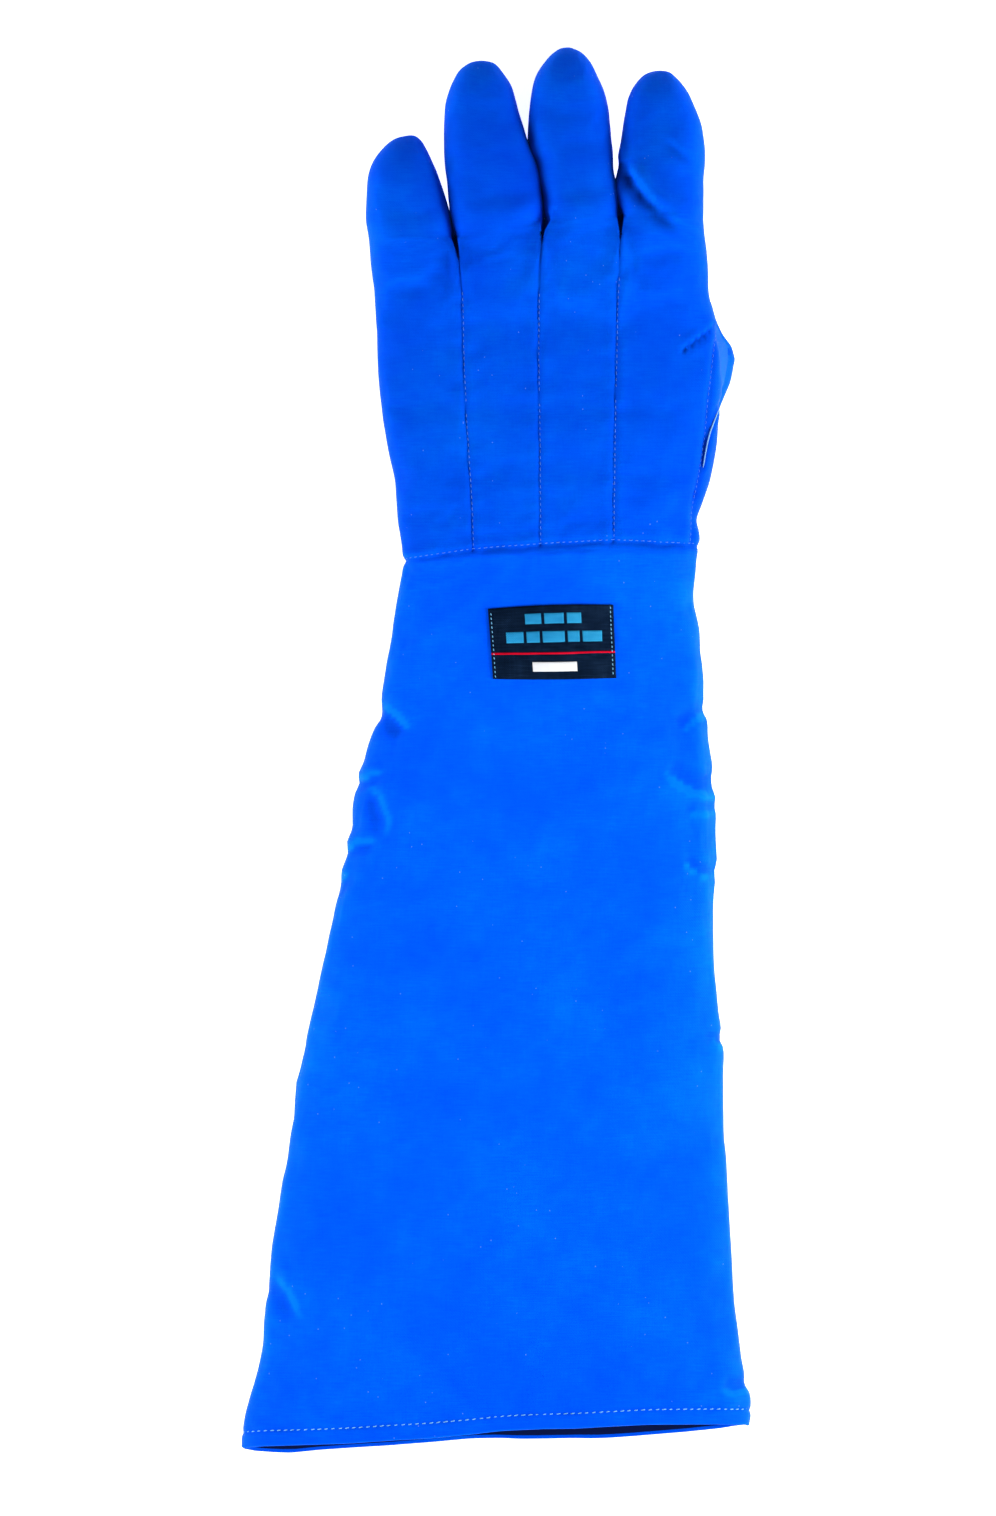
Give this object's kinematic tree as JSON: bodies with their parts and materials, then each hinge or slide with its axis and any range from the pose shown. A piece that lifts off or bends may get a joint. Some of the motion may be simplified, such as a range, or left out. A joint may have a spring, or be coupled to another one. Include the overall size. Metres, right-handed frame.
{
  "type": "shoulder-length cryogenic glove",
  "caption": "Shoulder-length insulated cryogenic glove for the left hand: flared blue sleeve, paneled back, set-in thumb folded under the palm, layered lining.",
  "frame": {"origin": "centre of the cuff opening, where the arm goes in", "axes": "+Y from the cuff towards the fingertips, +Z out of the back of the hand, +X towards the thumb side; the glove rests on its palm side with the resting plane at z = -23 mm"},
  "size_m": [0.2398, 0.6651, 0.0553],
  "materials": {
    "shell_blue": "fine woven nylon with a soft sheen, bright blue",
    "panel_blue": "fine woven nylon, bright blue, palm side",
    "barrier_white": "thin waterproof barrier membrane",
    "padding_white": "multi-layer fibre padding",
    "liner_navy": "brushed inner lining",
    "thread_pale": "pale blue sewing thread",
    "label_black": "dense black woven label"
  },
  "bodies": {
    "upper_sleeve": {"upper_sleeve_back_panel": "shell_blue", "upper_sleeve_palm_panel": "panel_blue", "upper_sleeve_barrier": "barrier_white", "upper_sleeve_insulation": "padding_white", "upper_sleeve_liner": "liner_navy", "cuff_hem": "shell_blue", "hem_stitching": "thread_pale"},
    "forearm_sleeve": {"forearm_back_panel": "shell_blue", "forearm_palm_panel": "panel_blue", "forearm_barrier": "barrier_white", "forearm_insulation": "padding_white", "forearm_liner": "liner_navy", "label": "label_black", "label_stitching": "thread_pale"},
    "hand": {"little_back_strip": "shell_blue", "ring_back_strip": "shell_blue", "middle_back_strip": "shell_blue", "index_back_strip": "shell_blue", "palm_panel": "panel_blue", "hand_barrier": "barrier_white", "hand_insulation": "padding_white", "hand_liner": "liner_navy", "wrist_stitching": "thread_pale", "back_seam_stitching": "thread_pale"},
    "little_base": {"little_base_back_panel": "shell_blue", "little_base_palm_panel": "panel_blue", "little_base_insulation": "padding_white", "little_base_liner": "liner_navy"},
    "little_tip": {"little_tip_back_panel": "shell_blue", "little_tip_palm_panel": "panel_blue", "little_tip_insulation": "padding_white", "little_tip_liner": "liner_navy"},
    "ring_base": {"ring_base_back_panel": "shell_blue", "ring_base_palm_panel": "panel_blue", "ring_base_insulation": "padding_white", "ring_base_liner": "liner_navy"},
    "ring_tip": {"ring_tip_back_panel": "shell_blue", "ring_tip_palm_panel": "panel_blue", "ring_tip_insulation": "padding_white", "ring_tip_liner": "liner_navy"},
    "middle_base": {"middle_base_back_panel": "shell_blue", "middle_base_palm_panel": "panel_blue", "middle_base_insulation": "padding_white", "middle_base_liner": "liner_navy"},
    "middle_tip": {"middle_tip_back_panel": "shell_blue", "middle_tip_palm_panel": "panel_blue", "middle_tip_insulation": "padding_white", "middle_tip_liner": "liner_navy"},
    "index_base": {"index_base_back_panel": "shell_blue", "index_base_palm_panel": "panel_blue", "index_base_insulation": "padding_white", "index_base_liner": "liner_navy"},
    "index_tip": {"index_tip_back_panel": "shell_blue", "index_tip_palm_panel": "panel_blue", "index_tip_insulation": "padding_white", "index_tip_liner": "liner_navy"},
    "thumb": {"thumb_back_panel": "shell_blue", "thumb_palm_panel": "panel_blue", "thumb_insulation": "padding_white", "thumb_liner": "liner_navy"}
  },
  "joints": [
    {"name": "elbow_bend", "type": "hinge", "parent": "upper_sleeve", "child": "forearm_sleeve", "pos_m": [0.008, 0.1786, 0], "axis": [1, 0, 0], "range_deg": [0, 90]},
    {"name": "wrist_bend", "type": "hinge", "parent": "forearm_sleeve", "child": "hand", "pos_m": [0.0257, 0.418, 0.008], "axis": [-0.9987, -0.0506, 0], "range_deg": [-40, 45]},
    {"name": "little_base_bend", "type": "hinge", "parent": "hand", "child": "little_base", "pos_m": [-0.0387, 0.5643, 0.0112], "axis": [-0.9951, -0.0993, 0], "range_deg": [0, 70]},
    {"name": "little_tip_bend", "type": "hinge", "parent": "little_base", "child": "little_tip", "pos_m": [-0.04111, 0.58843, 0.00605], "axis": [-0.9951, -0.0993, 0], "range_deg": [0, 75]},
    {"name": "ring_base_bend", "type": "hinge", "parent": "hand", "child": "ring_base", "pos_m": [0.0017, 0.5724, 0.01298], "axis": [-0.989, -0.1478, 0], "range_deg": [0, 70]},
    {"name": "ring_tip_bend", "type": "hinge", "parent": "ring_base", "child": "ring_tip", "pos_m": [-0.00391, 0.60991, 0.00492], "axis": [-0.989, -0.1478, 0], "range_deg": [0, 75]},
    {"name": "middle_base_bend", "type": "hinge", "parent": "hand", "child": "middle_base", "pos_m": [0.0418, 0.5752, 0.01475], "axis": [-0.991, -0.134, 0], "range_deg": [0, 70]},
    {"name": "middle_tip_bend", "type": "hinge", "parent": "middle_base", "child": "middle_tip", "pos_m": [0.03652, 0.61428, 0.00637], "axis": [-0.991, -0.134, 0], "range_deg": [0, 75]},
    {"name": "index_base_bend", "type": "hinge", "parent": "hand", "child": "index_base", "pos_m": [0.0796, 0.5738, 0.01642], "axis": [-0.9998, 0.0175, 0], "range_deg": [0, 70]},
    {"name": "index_tip_bend", "type": "hinge", "parent": "index_base", "child": "index_tip", "pos_m": [0.0802, 0.6082, 0.00911], "axis": [-0.9998, 0.0175, 0], "range_deg": [0, 75]},
    {"name": "thumb_fold", "type": "hinge", "parent": "hand", "child": "thumb", "pos_m": [0.0995, 0.478, -0.0142], "axis": [-0.1736, -0.9848, 0], "range_deg": [0, 165]}
  ]
}
